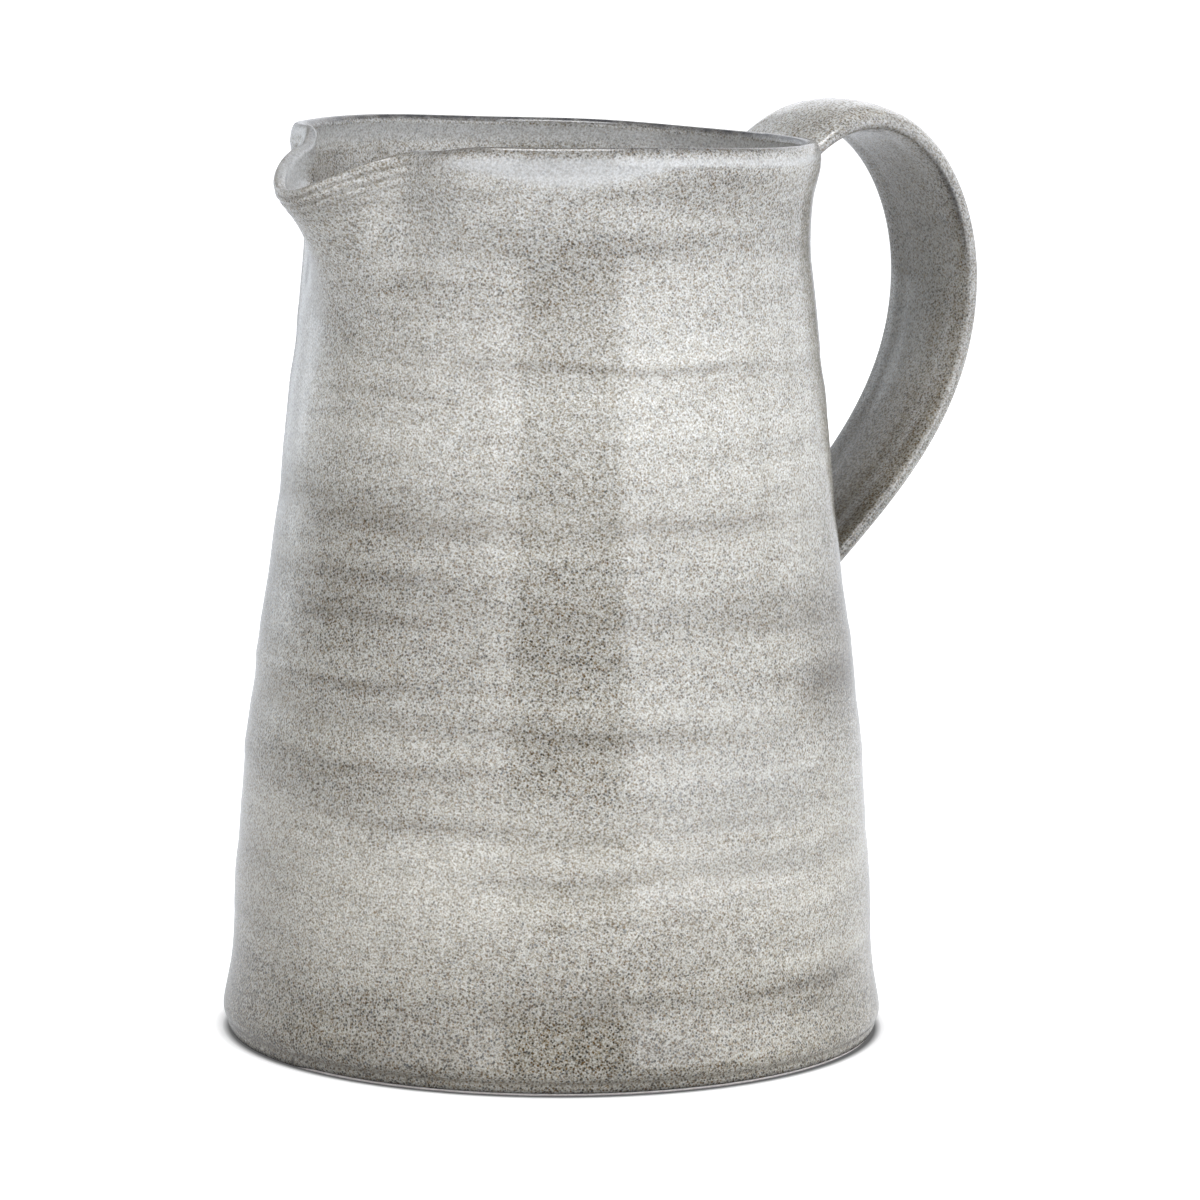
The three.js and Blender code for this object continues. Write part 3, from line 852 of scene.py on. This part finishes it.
def glazed_handle(surface):
    """The strap with its glaze and both luted roots, as one closed skin."""
    skin, place = strap_surface()
    middle = len(place) // 2
    upper, first = root_rings(skin, np.arange(middle, -1, -1), surface)
    lower, last = root_rings(skin, np.arange(middle, len(place)), surface)
    share = np.linspace(0, 1, STRAP_RINGS)[1:-1, None]
    at = first + (last - first) * share
    low = np.floor(at).astype(int)
    columns = np.arange(SECTION_POINTS)
    part = (at - low)[..., None]
    strap = skin[low, columns] * (1 - part) + skin[low + 1, columns] * part
    rings = np.concatenate([upper[::-1], strap, lower])
    rows = len(rings)
    points = np.concatenate([rings.reshape(-1, 3), [rings[0].mean(0), rings[-1].mean(0)]])
    tip = rows * SECTION_POINTS
    faces = grid_faces(rows, SECTION_POINTS)
    faces += fan(0, tip, SECTION_POINTS, flip=True)
    faces += fan((rows - 1) * SECTION_POINTS, tip + 1, SECTION_POINTS)
    piece = mesh_piece("glazed_handle", points, faces)
    thin, pooled, tint = strap_glaze(rows)
    set_values(piece, glaze_thin=thin, glaze_pooled=pooled, glaze_streak=tint)
    return piece


# Materials
def tone(red, green, blue):
    """Colour from display values of 0 to 255."""
    channels = [c / 255 for c in (red, green, blue)]
    return (*[c / 12.92 if c <= 0.04045 else ((c + 0.055) / 1.055) ** 2.4 for c in channels], 1.0)


class Graph:
    """The nodes of a material or a world, added one by one."""

    def __init__(self, owner, output="OutputMaterial"):
        self.owner = owner
        owner.use_nodes = True
        self.tree = owner.node_tree
        self.tree.nodes.clear()
        self.output = self.add(output)

    def add(self, kind, inputs=None, **settings):
        node = self.tree.nodes.new("ShaderNode" + kind)
        for key, value in settings.items():
            setattr(node, key, value)
        for key, value in (inputs or {}).items():
            if isinstance(value, bpy.types.NodeSocket):
                self.tree.links.new(value, node.inputs[key])
            else:
                node.inputs[key].default_value = value
        return node

    def math(self, operation, a, b=0.0, clamp=False):
        return self.add("Math", {0: a, 1: b}, operation=operation, use_clamp=clamp).outputs[0]

    def mix(self, factor, a, b, blend="MIX"):
        return self.add("Mix", {0: factor, 6: a, 7: b}, data_type="RGBA", blend_type=blend).outputs[2]

    def ramp(self, factor, stops, interpolation="LINEAR"):
        node = self.add("ValToRGB", {0: factor})
        node.color_ramp.interpolation = interpolation
        elements = node.color_ramp.elements
        while len(elements) < len(stops):
            elements.new(0.5)
        for element, (position, colour) in zip(elements, stops):
            element.position = position
            element.color = colour
        return node.outputs[0]

    def spread(self, value, low, high, to_low=0.0, to_high=1.0):
        return self.add("MapRange", {0: value, 1: low, 2: high, 3: to_low, 4: to_high}).outputs[0]

    def noise(self, vector, scale, detail, roughness):
        inputs = {"Vector": vector, "Scale": scale, "Detail": detail, "Roughness": roughness}
        return self.add("TexNoise", inputs).outputs[0]

    def finish(self, shader):
        self.tree.links.new(shader, self.output.inputs[0])
        return self.owner


# Tone and tint of the glaze over the jug's height: share of the height, and how pale or of what tint it lies.
# The darker levels towards the foot and at mid height are painted shade.
GLAZE_TONES_AND_SHADE = [(0.0, 0.58), (0.06, 0.68), (0.13, 0.95), (0.2, 1.02), (0.27, 0.99), (0.34, 0.91), (0.46, 0.84),
               (0.55, 0.84), (0.68, 1.01), (0.79, 1.02), (0.88, 0.94), (1.0, 0.96)]
TONE_RANGE = 1.2
GLAZE_TINTS = [(0.02, (1.0, 0.975, 0.91, 1)), (0.14, (1.0, 0.985, 0.95, 1)), (0.45, (0.995, 0.99, 0.97, 1)),
               (0.7, (0.99, 0.99, 0.985, 1)), (1.0, (0.98, 0.985, 1.0, 1))]
TONE_WANDER = 0.12

# Colours of the glaze, with those of its painted light, of its streaks and painted shade, and of thin glaze
# with the lip's painted dark reflection
GLAZE_PALE = tone(219, 220, 218)
GLAZE_GREY = tone(150, 142, 124)
GRAIN_RANGE = (0.36, 0.6)
PAINTED_LIGHT_COLOUR = tone(209, 211, 213)
STREAK_AND_SHADE_COLOUR = tone(104, 93, 76)
THIN_GLAZE_AND_REFLECTION_COLOUR = tone(68, 68, 71)
POOL_COLOUR = tone(92, 85, 72)
DARK_SPECKS = [(0.0, tone(112, 84, 44)), (0.35, tone(94, 78, 52)), (0.6, tone(56, 52, 44)),
               (0.85, tone(84, 82, 78)), (1.0, tone(104, 110, 118))]
TAN_SPECKS = [(0.0, tone(156, 129, 84)), (0.5, tone(144, 129, 100)), (1.0, tone(148, 145, 138))]
PALE_SPECKS = [(0.0, tone(226, 220, 208)), (0.5, tone(226, 227, 226)), (1.0, tone(216, 222, 230))]

# Layers of specks: scale, share of the cells that have one, strength, edge, tones, and whether fewer show
# where the glaze lies pale
SPECK_LAYERS = [(2250.0, 0.4, (0.2, 0.7), (0.24, 0.6), PALE_SPECKS, False),
                (1900.0, 0.6, (0.15, 0.8), (0.25, 0.6), TAN_SPECKS, True),
                (1500.0, 0.65, (0.25, 1.0), (0.28, 0.6), DARK_SPECKS, True),
                (1750.0, 0.45, (0.25, 0.95), (0.28, 0.6), DARK_SPECKS, True)]

# Levels of the glaze, and the weight of the specks there
SPECK_LEVELS = (0.5, 1.08)
SPECK_WEIGHTS = (1.65, 0.58)

# Turn that keeps the layers of the noise away from the directions the wall faces
SKEW = (math.atan(math.sqrt(0.5)), math.pi / 4, 0)

# Noises of the glaze: scale, detail and roughness, and how two of them are stretched round the body
GRAIN_NOISE = (2200, 2.0, 0.7)
CLUSTER_NOISE = (260, 2.0, 0.6)
PEEL_NOISE = (240, 1.0, 0.4)
WIDE_NOISE = (22, 3.0, 0.55)
STREAK_NOISE = (1.0, 4.0, 0.6)
STREAK_STRETCH = (14, 14, 120)
BROAD_NOISE = (1.0, 2.0, 0.5)
BROAD_STRETCH = (9, 9, 38)

# Part of a noise's range that is used, and how far each noise lifts or lowers the level of the glaze
NOISE_RANGE = (0.3, 0.7)
PATCH_RANGE = (0.35, 0.6)
STREAK_LIFT = 0.11
BROAD_LIFT = 0.08
CLUSTER_LIFT = 0.05

# How strongly streaks and painted shade, painted light as smooth pale glaze, thin glaze with the lip's
# painted dark reflection, and pooled glaze show
STREAK_SPECKS = 0.3
STREAK_DEPTH = 0.34
STREAK_TINT = 0.24
STREAK_PATCHES = (0.65, 1.0)
PAINTED_LIGHT_SHARE = -0.65
EDGE_PATCHES = (0.7, 1.0)
THIN_SHARE = 0.95
POOL_SHARE = 0.6

# Gloss and surface of the glaze
GRAIN_RELIEF = 0.25
GLAZE_BUMP = {"Strength": 0.4, "Distance": 0.00006}
GLAZE_ROUGHNESS = (0.18, 0.12)
GLAZE_IOR = 1.52

# Bare clay
GROG_NOISE = (900, 3.0, 0.7)
STAIN_NOISE = (40, 3.0, 0.6)
CLAY_TONES = [(0.32, tone(224, 215, 211)), (0.5, tone(238, 231, 229)), (0.68, tone(246, 242, 241))]
CLAY_STAIN = tone(214, 203, 198)
STAIN_RANGE = (0.35, 0.7)
STAIN_SHARE = (0.0, 0.35)
CLAY_BUMP = {"Strength": 0.6, "Distance": 0.00015}
CLAY_ROUGHNESS = (0.78, 0.92)


def specks(g, place, colour, scale, share, strength, edge, tones, weight=1.0):
    """Adds specks of mixed tones to a colour. A share of the cells has one, each of its own strength."""
    cells = g.add("TexVoronoi", {"Vector": place, "Scale": scale})
    chance, kind, _ = g.add("SeparateColor", {0: cells.outputs["Color"]}).outputs
    shape = g.spread(cells.outputs["Distance"], *edge, 1.0, 0.0)
    present = g.math("LESS_THAN", chance, share)
    amount = g.math("MULTIPLY", present, g.spread(chance, share, 0.0, *strength))
    amount = g.math("MULTIPLY", amount, weight)
    return g.mix(g.math("MULTIPLY", shape, amount), colour, g.ramp(kind, tones))


def glaze_material():
    g = Graph(bpy.data.materials.new("speckled_glaze"))
    place = g.add("TexCoord").outputs["Object"]
    height = g.add("SeparateXYZ", {0: place}).outputs[2]
    turned = g.add("Mapping", {"Vector": place, "Rotation": SKEW}).outputs[0]
    grain = g.noise(turned, *GRAIN_NOISE)
    clusters = g.noise(turned, *CLUSTER_NOISE)
    peel = g.noise(turned, *PEEL_NOISE)
    wide = g.noise(place, *WIDE_NOISE)
    streak_map = g.add("Mapping", {"Vector": place, "Scale": STREAK_STRETCH}).outputs[0]
    streaks = g.noise(streak_map, *STREAK_NOISE)
    broad_map = g.add("Mapping", {"Vector": place, "Scale": BROAD_STRETCH}).outputs[0]
    broad = g.noise(broad_map, *BROAD_NOISE)
    tint = g.add("Attribute", attribute_name="glaze_streak").outputs["Fac"]
    thin = g.add("Attribute", attribute_name="glaze_thin").outputs["Fac"]
    pooled = g.add("Attribute", attribute_name="glaze_pooled").outputs["Fac"]

    # Level of the glaze, from the height with its painted shade, and the wide noises
    share = g.math("DIVIDE", height, BODY_HEIGHT * MM)
    wander = g.math("MULTIPLY", g.math("SUBTRACT", wide, 0.5), TONE_WANDER)
    stops = [(position, (pale / TONE_RANGE,) * 3 + (1.0,)) for position, pale in GLAZE_TONES_AND_SHADE]
    level = g.ramp(g.math("ADD", share, wander), stops, "B_SPLINE")
    level = g.math("MULTIPLY", level, TONE_RANGE)
    for noise, lift in ((streaks, STREAK_LIFT), (broad, BROAD_LIFT), (clusters, CLUSTER_LIFT)):
        level = g.math("ADD", level, g.spread(noise, *NOISE_RANGE, -lift, lift))
    streak = g.math("MAXIMUM", tint, 0.0)
    lying = g.math("SUBTRACT", level, g.math("MULTIPLY", streak, STREAK_SPECKS))
    dense = g.spread(lying, *SPECK_LEVELS, *SPECK_WEIGHTS)

    # Grain and specks, scaled by the level
    grey_end, pale_end = GRAIN_RANGE
    colour = g.ramp(grain, [(grey_end, GLAZE_GREY), (pale_end, GLAZE_PALE)])
    for scale, cells, strength, edge, tones, follows in SPECK_LAYERS:
        weight = dense if follows else 1.0
        colour = specks(g, turned, colour, scale, cells, strength, edge, tones, weight)
    # Streaks and painted shade darken the level in ragged patches
    ragged = g.math("MULTIPLY", streak, g.spread(clusters, *PATCH_RANGE, *STREAK_PATCHES))
    level = g.math("SUBTRACT", level, g.math("MULTIPLY", ragged, STREAK_DEPTH))
    colour = g.add("VectorMath", {0: colour, "Scale": level}, operation="SCALE").outputs[0]

    # Tints, then streaks and painted shade, painted light as smooth pale glaze, thin glaze with the lip's
    # painted dark reflection, and pooled glaze
    colour = g.mix(1.0, colour, g.ramp(share, GLAZE_TINTS), "MULTIPLY")
    colour = g.mix(g.math("MULTIPLY", streak, STREAK_TINT, clamp=True), colour, STREAK_AND_SHADE_COLOUR)
    colour = g.mix(g.math("MULTIPLY", tint, PAINTED_LIGHT_SHARE, clamp=True), colour, PAINTED_LIGHT_COLOUR)
    patchy = g.spread(clusters, *PATCH_RANGE, *EDGE_PATCHES)
    for amount, most, shade in ((thin, THIN_SHARE, THIN_GLAZE_AND_REFLECTION_COLOUR), (pooled, POOL_SHARE, POOL_COLOUR)):
        colour = g.mix(g.math("MULTIPLY", g.math("MULTIPLY", amount, patchy), most), colour, shade)

    relief = g.math("ADD", g.math("MULTIPLY", grain, GRAIN_RELIEF), peel)
    bump = g.add("Bump", {**GLAZE_BUMP, "Height": relief}).outputs[0]
    rough = g.spread(grain, *NOISE_RANGE, *GLAZE_ROUGHNESS)
    inputs = {"Base Color": colour, "Roughness": rough, "IOR": GLAZE_IOR, "Normal": bump}
    shader = g.add("BsdfPrincipled", inputs)
    return g.finish(shader.outputs[0])


def clay_material():
    g = Graph(bpy.data.materials.new("fired_clay"))
    place = g.add("TexCoord").outputs["Object"]
    grog = g.noise(place, *GROG_NOISE)
    stains = g.noise(place, *STAIN_NOISE)
    colour = g.mix(g.spread(stains, *STAIN_RANGE, *STAIN_SHARE), g.ramp(grog, CLAY_TONES), CLAY_STAIN)
    bump = g.add("Bump", {**CLAY_BUMP, "Height": grog}).outputs[0]
    rough = g.spread(stains, *NOISE_RANGE, *CLAY_ROUGHNESS)
    shader = g.add("BsdfPrincipled", {"Base Color": colour, "Roughness": rough, "Normal": bump})
    return g.finish(shader.outputs[0])


def dress(piece, material, slot, *nodes):
    piece.data.materials.append(material)
    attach(piece, "root")
    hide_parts(*nodes)


glaze = glaze_material()
clay = clay_material()
coat, coat_surface = glaze_coat()
dress(coat, glaze, "glaze", "outer_glaze", "liner_glaze")
dress(clay_body(), clay, "bare_clay", "thrown_body")
dress(glazed_handle(coat_surface), glaze, "glaze", "handle_glaze", "handle_strap", "upper_slip_joint",
      "lower_slip_joint")

# Camera: the photograph's view, with places in millimetres from the jug's axis and the clip end in metres
VIEW_TURN = math.radians(33)
VIEW_PITCH = math.radians(8.339)
VIEW_ROLL = math.radians(0.42)
VIEW_DISTANCE = 1355.8
VIEW_HEIGHT = 304.4
VIEW_SIDE = 11.1
LENS = 167.97
SENSOR = 36.0
CLIP_END = 50

right = Vector((math.cos(VIEW_TURN), -math.sin(VIEW_TURN), 0))
away = Vector((math.sin(VIEW_TURN), math.cos(VIEW_TURN), 0))
up = Vector((0, 0, 1))


def make_camera():
    forward = away * math.cos(VIEW_PITCH) - up * math.sin(VIEW_PITCH)
    top = away * math.sin(VIEW_PITCH) + up * math.cos(VIEW_PITCH)
    camera_x = right * math.cos(VIEW_ROLL) + top * math.sin(VIEW_ROLL)
    camera_y = top * math.cos(VIEW_ROLL) - right * math.sin(VIEW_ROLL)
    data = bpy.data.cameras.new("camera")
    data.lens = LENS
    data.sensor_width = SENSOR
    data.clip_end = CLIP_END
    camera = add_object("camera", data)
    turn = Matrix((camera_x, camera_y, -forward)).transposed()
    spot = (right * VIEW_SIDE - away * VIEW_DISTANCE + up * VIEW_HEIGHT) * MM
    camera.matrix_world = Matrix.Translation(spot) @ turn.to_4x4()
    bpy.context.scene.camera = camera


# Lamps: name, degrees to the right of the camera's side of the jug, distance, height, width and tallness in
# metres, radiance and colour
COOL = (0.985, 0.988, 1.005)
COOLER = (0.965, 0.982, 1.015)
BLUISH = (0.88, 0.94, 1.0)
LAMPS = [("left_softbox", -36, 1.3, 0.4, 1.05, 1.0, 0.95, COOL),
         ("left_pane", -19.9, 1.3, 0.45, 0.27, 0.8, 0.8, COOL),
         ("left_spill", -46, 1.3, 0.4, 1.62, 1.0, 0.55, COOL),
         ("far_left_spill", -56, 1.3, 0.4, 2.34, 1.0, 0.45, COOL),
         ("right_softbox", 45.5, 1.3, 0.42, 0.87, 1.1, 0.6, COOLER),
         ("right_pane", 31.8, 1.3, 0.45, 0.22, 0.8, 0.6, COOLER),
         ("right_spill", 58.5, 1.3, 0.42, 1.59, 1.1, 1.05, COOLER),
         ("far_right_spill", 71, 1.3, 0.42, 2.51, 1.1, 0.9, COOLER),
         ("side_spill", 83.5, 1.3, 0.42, 3.93, 1.1, 0.65, COOLER),
         ("back_softbox", -143, 1.4, 0.55, 1.0, 1.4, 0.55, BLUISH),
         ("back_left_card", -126, 1.4, 0.4, 0.7, 0.7, 0.72, BLUISH),
         ("rear_fill", 165, 1.7, 0.9, 1.6, 1.2, 0.8, COOL),
         ("top_softbox", 5, 0.45, 1.5, 0.8, 0.5, 10.2, COOL)]
FLOOR_CARD = ("front_card", 8, 0.44, 0.004, 0.9, 0.24, 2.0, (1, 1, 1))
AIM = Vector((0, 0, 0.11))


def softbox(name, turn, distance, height, width, tall, radiance, colour, flat=False):
    """Area lamp aimed at the jug. A flat one is a card on the floor that only shows in reflections."""
    data = bpy.data.lights.new(name, "AREA")
    data.shape = "RECTANGLE"
    data.size, data.size_y = width, tall
    data.energy = radiance * math.pi * width * tall
    data.color = colour
    lamp = add_object(name, data)
    side = math.radians(turn)
    lamp.location = (right * math.sin(side) - away * math.cos(side)) * distance + up * height
    lamp.rotation_mode = "QUATERNION"
    if flat:
        lamp.rotation_quaternion = Matrix((right, -away, -up)).transposed().to_quaternion()
    else:
        lamp.rotation_quaternion = (AIM - lamp.location).to_track_quat("-Z", "Y")
    lamp.visible_camera = False
    lamp.visible_diffuse = not flat


# Stage, in metres: the share of white that is added and the grey of the diffuse part, for floor and backdrop
STAGE_WHITE = 0.84
STAGE_GREY = 0.62
STAGE_HALF = 5.0
BACKDROP_WHITE = 1.0
BACKDROP_GREY = 0.5
BACKDROP_DISTANCE = 2.4
BACKDROP_HEIGHT = 1.8
BACKDROP_TURN = 80
BACKDROP_PANELS = 16

# Painted contact shadow: distances from the axis, the grey it paints the floor at the foot, how much white it
# takes away, and how much is added far off
CONTACT_START = 0.0797
CONTACT_EDGE = 0.0814
CONTACT_REACH = 0.0845
PAINTED_CONTACT_SHADOW = 0.03
CONTACT_LOSS = 0.72
SHADOW_REACH = 0.4
FAR_WHITE = 0.25

# How much of the white shows in reflections, and its tint there
MIRRORED_SHARE = 0.42
MIRRORED_TINT = (0.86, 0.91, 1.0, 1.0)

WHITE = (1, 1, 1, 1)


def seen_white(name, share, grey, contact=0.0):
    """Stage material that keeps shadows, and adds white where the camera or a reflection sees it. Given
    contact, it paints a contact shadow round the foot.
    """
    g = Graph(bpy.data.materials.new(name))
    rays = g.add("LightPath").outputs
    mirrored = g.math("MAXIMUM", rays["Is Glossy Ray"], rays["Is Transmission Ray"])
    mirrored = g.math("MULTIPLY", mirrored, MIRRORED_SHARE)
    seen = g.math("MAXIMUM", rays["Is Camera Ray"], mirrored)
    colour = (grey, grey, grey, 1.0)
    if contact:
        # Painted contact shadow: less white, and a nearly black floor colour, close to the foot
        place = g.add("TexCoord").outputs["Object"]
        reach = g.add("VectorMath", {0: place}, operation="LENGTH").outputs["Value"]
        share = g.math("SUBTRACT", share, g.spread(reach, CONTACT_START, CONTACT_REACH, contact, 0.0))
        share = g.math("ADD", share, g.spread(reach, CONTACT_REACH, SHADOW_REACH, 0.0, FAR_WHITE))
        colour = g.spread(reach, CONTACT_START, CONTACT_EDGE, PAINTED_CONTACT_SHADOW, grey)
    diffuse = g.add("BsdfDiffuse", {"Color": colour})
    tint = g.mix(rays["Is Camera Ray"], MIRRORED_TINT, WHITE)
    glow = g.add("Emission", {"Color": tint, "Strength": g.math("MULTIPLY", seen, share)})
    return g.finish(g.add("AddShader", {0: diffuse.outputs[0], 1: glow.outputs[0]}).outputs[0])


def stage_piece(name, corners, material):
    mesh = bpy.data.meshes.new(name)
    mesh.from_pydata([tuple(c) for c in corners], [], [(0, 1, 2, 3)])
    mesh.materials.append(material)
    piece = add_object(name, mesh)


def make_stage():
    floor = seen_white("floor_white", STAGE_WHITE, STAGE_GREY, CONTACT_LOSS)
    sides = ((-1, -1), (1, -1), (1, 1), (-1, 1))
    stage_piece("floor", [(right * x + away * y) * STAGE_HALF for x, y in sides], floor)
    wall = seen_white("backdrop_white", BACKDROP_WHITE, BACKDROP_GREY)
    edges = np.radians(np.linspace(-BACKDROP_TURN, BACKDROP_TURN, BACKDROP_PANELS + 1))
    rise = up * BACKDROP_HEIGHT
    for k, turns in enumerate(zip(edges[:-1], edges[1:])):
        a, b = ((right * math.sin(t) + away * math.cos(t)) * BACKDROP_DISTANCE for t in turns)
        stage_piece(f"backdrop_{k}", [a, b, b + rise, a + rise], wall)


# Light that comes from all round, which the camera sees as white
FILL_COLOUR = (0.93, 0.96, 1.0, 1)
FILL_STRENGTH = 0.06


def make_world():
    g = Graph(bpy.data.worlds.new("world"), "OutputWorld")
    fill = g.add("Background", {0: FILL_COLOUR, 1: FILL_STRENGTH})
    white = g.add("Background", {0: WHITE, 1: 1.0})
    camera_ray = g.add("LightPath").outputs["Is Camera Ray"]
    both = g.add("MixShader", {0: camera_ray, 1: fill.outputs[0], 2: white.outputs[0]})
    bpy.context.scene.world = g.finish(both.outputs[0])


make_camera()
make_stage()
make_world()
for lamp_numbers in LAMPS:
    softbox(*lamp_numbers)
softbox(*FLOOR_CARD, flat=True)

bpy.context.scene.view_settings.view_transform = "Standard"
